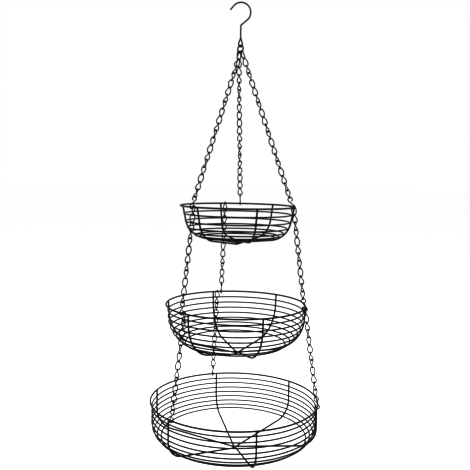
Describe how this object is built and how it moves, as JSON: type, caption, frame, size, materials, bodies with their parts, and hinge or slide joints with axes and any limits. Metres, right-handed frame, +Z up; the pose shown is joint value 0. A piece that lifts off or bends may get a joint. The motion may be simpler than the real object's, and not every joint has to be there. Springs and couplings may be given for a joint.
{
  "type": "tiered hanging wire basket",
  "caption": "Hanging basket of round wire bowls that grow towards the bottom, joined by link chains with S-hooks under one ceiling hook.",
  "frame": {"origin": "the inside of the hook's crown, where the hook rests on what carries it", "axes": "+Z up, along the hanging line; -Y towards the viewer, +X to the viewer's right; the hook's bow lies in the XZ plane and opens towards -X"},
  "size_m": [0.303, 0.303, 0.7906],
  "materials": {
    "wire": "satin black powder coat",
    "chain": "satin black coating, thinner than the baskets'"
  },
  "bodies": {
    "hook": {"hook": "wire"},
    "gather_ring": {"gather_ring": "wire"},
    "upper_tier": {"upper_chain_left": "chain", "upper_chain_right": "chain", "upper_chain_back": "chain", "upper_s_hook_left": "chain", "upper_s_hook_right": "chain", "upper_s_hook_back": "chain", "upper_rim": "wire", "upper_rib_1": "wire", "upper_rib_2": "wire", "upper_rib_3": "wire", "upper_ring_1": "wire", "upper_ring_2": "wire", "upper_ring_3": "wire", "upper_ring_4": "wire", "upper_ring_5": "wire", "upper_ring_6": "wire"},
    "middle_chain_left": {"middle_chain_left": "chain", "middle_s_hook_left": "chain"},
    "middle_chain_right": {"middle_chain_right": "chain", "middle_s_hook_right": "chain"},
    "middle_chain_back": {"middle_chain_back": "chain", "middle_s_hook_back": "chain"},
    "middle_tier": {"middle_rim": "wire", "middle_rib_1": "wire", "middle_rib_2": "wire", "middle_rib_3": "wire", "middle_ring_1": "wire", "middle_ring_2": "wire", "middle_ring_3": "wire", "middle_ring_4": "wire", "middle_ring_5": "wire", "middle_ring_6": "wire", "middle_ring_7": "wire", "middle_ring_8": "wire"},
    "lower_chain_left": {"lower_chain_left": "chain", "lower_s_hook_left": "chain"},
    "lower_chain_right": {"lower_chain_right": "chain", "lower_s_hook_right": "chain"},
    "lower_chain_back": {"lower_chain_back": "chain", "lower_s_hook_back": "chain"},
    "bottom_tier": {"bottom_rim": "wire", "bottom_rib_1": "wire", "bottom_rib_2": "wire", "bottom_rib_3": "wire", "bottom_ring_1": "wire", "bottom_ring_2": "wire", "bottom_ring_3": "wire", "bottom_ring_4": "wire", "bottom_ring_5": "wire", "bottom_ring_6": "wire", "bottom_ring_7": "wire", "bottom_ring_8": "wire"}
  },
  "joints": [
    {"name": "ring_swing", "type": "hinge", "parent": "hook", "child": "gather_ring", "pos_m": [0, 0, -0.07299], "axis": [0.7071, 0.7071, 0], "range_deg": [-25, 25]},
    {"name": "upper_swing", "type": "hinge", "parent": "gather_ring", "child": "upper_tier", "pos_m": [0, 0, -0.08245], "axis": [-0.7071, 0.7071, 0], "range_deg": [-20, 20]},
    {"name": "middle_sway", "type": "hinge", "parent": "upper_tier", "child": "middle_chain_left", "pos_m": [-0.07254, -0.06883, -0.346], "axis": [0, 1, 0], "range_deg": [-8, 8]},
    {"name": "middle_sway_right", "type": "hinge", "parent": "upper_tier", "child": "middle_chain_right", "pos_m": [0.09588, -0.0284, -0.346], "axis": [0, 1, 0], "range_deg": [-9, 9]},
    {"name": "middle_sway_back", "type": "hinge", "parent": "upper_tier", "child": "middle_chain_back", "pos_m": [-0.02335, 0.09724, -0.346], "axis": [0, 1, 0], "range_deg": [-9, 9]},
    {"name": "middle_level", "type": "hinge", "parent": "middle_chain_left", "child": "middle_tier", "pos_m": [-0.08958, -0.08501, -0.5205], "axis": [0, 1, 0], "range_deg": [-9, 9]},
    {"name": "lower_sway", "type": "hinge", "parent": "middle_tier", "child": "lower_chain_left", "pos_m": [-0.08423, -0.09032, -0.5205], "axis": [0, 1, 0], "range_deg": [-4, 4]},
    {"name": "lower_sway_right", "type": "hinge", "parent": "middle_tier", "child": "lower_chain_right", "pos_m": [0.12033, -0.02778, -0.5205], "axis": [0, 1, 0], "range_deg": [-5, 5]},
    {"name": "lower_sway_back", "type": "hinge", "parent": "middle_tier", "child": "lower_chain_back", "pos_m": [-0.03611, 0.1181, -0.5205], "axis": [0, 1, 0], "range_deg": [-5, 5]},
    {"name": "lower_level", "type": "hinge", "parent": "lower_chain_left", "child": "bottom_tier", "pos_m": [-0.1023, -0.1097, -0.6945], "axis": [0, 1, 0], "range_deg": [-5, 5]}
  ],
  "couplings": [
    {"joint": "middle_sway_right", "follows": "middle_sway", "ratio": 1},
    {"joint": "middle_sway_back", "follows": "middle_sway", "ratio": 1},
    {"joint": "middle_level", "follows": "middle_sway", "ratio": -0.8097},
    {"joint": "lower_sway_right", "follows": "lower_sway", "ratio": 1},
    {"joint": "lower_sway_back", "follows": "lower_sway", "ratio": 1},
    {"joint": "lower_level", "follows": "lower_sway", "ratio": -0.8233}
  ]
}
